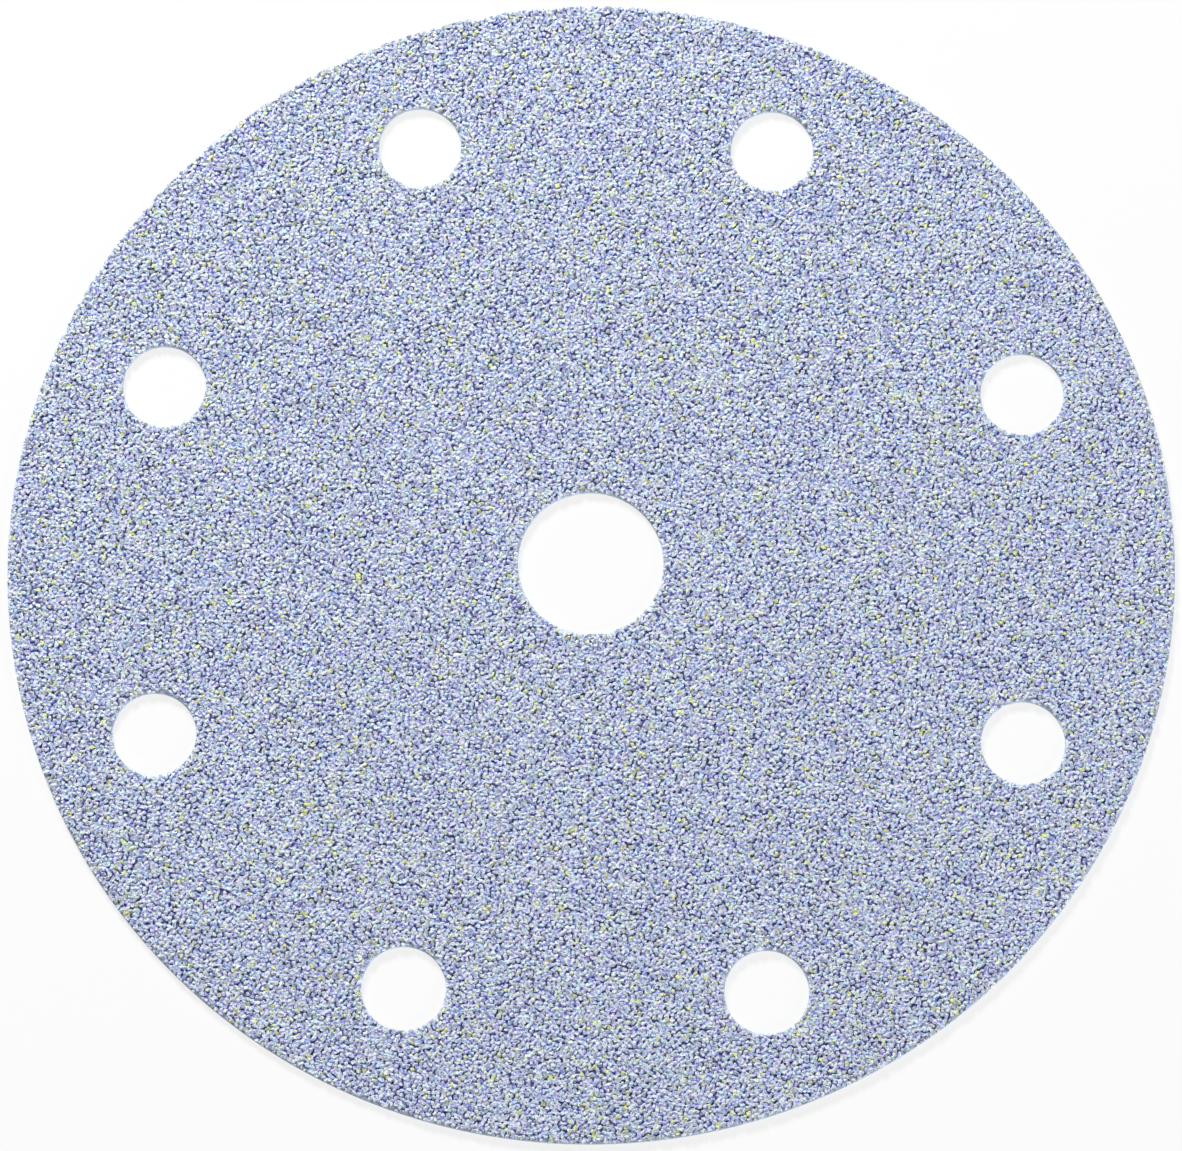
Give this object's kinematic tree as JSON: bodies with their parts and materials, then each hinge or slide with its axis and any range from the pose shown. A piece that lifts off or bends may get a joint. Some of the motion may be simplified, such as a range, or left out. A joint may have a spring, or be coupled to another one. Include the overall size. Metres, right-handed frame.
{
  "type": "sanding disc",
  "caption": "Flat round coated-abrasive sheet with a ring of dust extraction holes around a larger centre hole, for a random orbit sander.",
  "frame": {"origin": "centre of the back face, where the disc rests on a table or on the sander's pad", "axes": "+Z along the disc's axis, out of the grain face; X and Y run between two dust holes"},
  "size_m": [0.15, 0.15, 0.0013],
  "materials": {
    "abrasive_coat": "coarse open grain, matt, under a pale blue-grey top coat",
    "grain": "angular grains with coated, slightly glossy faces",
    "backing": "die-cut edge of heavy paper, matt",
    "loop_pile": "brushed loop pile, matt"
  },
  "bodies": {
    "root": {"sanding_disc": "abrasive_coat"}
  },
  "joints": []
}
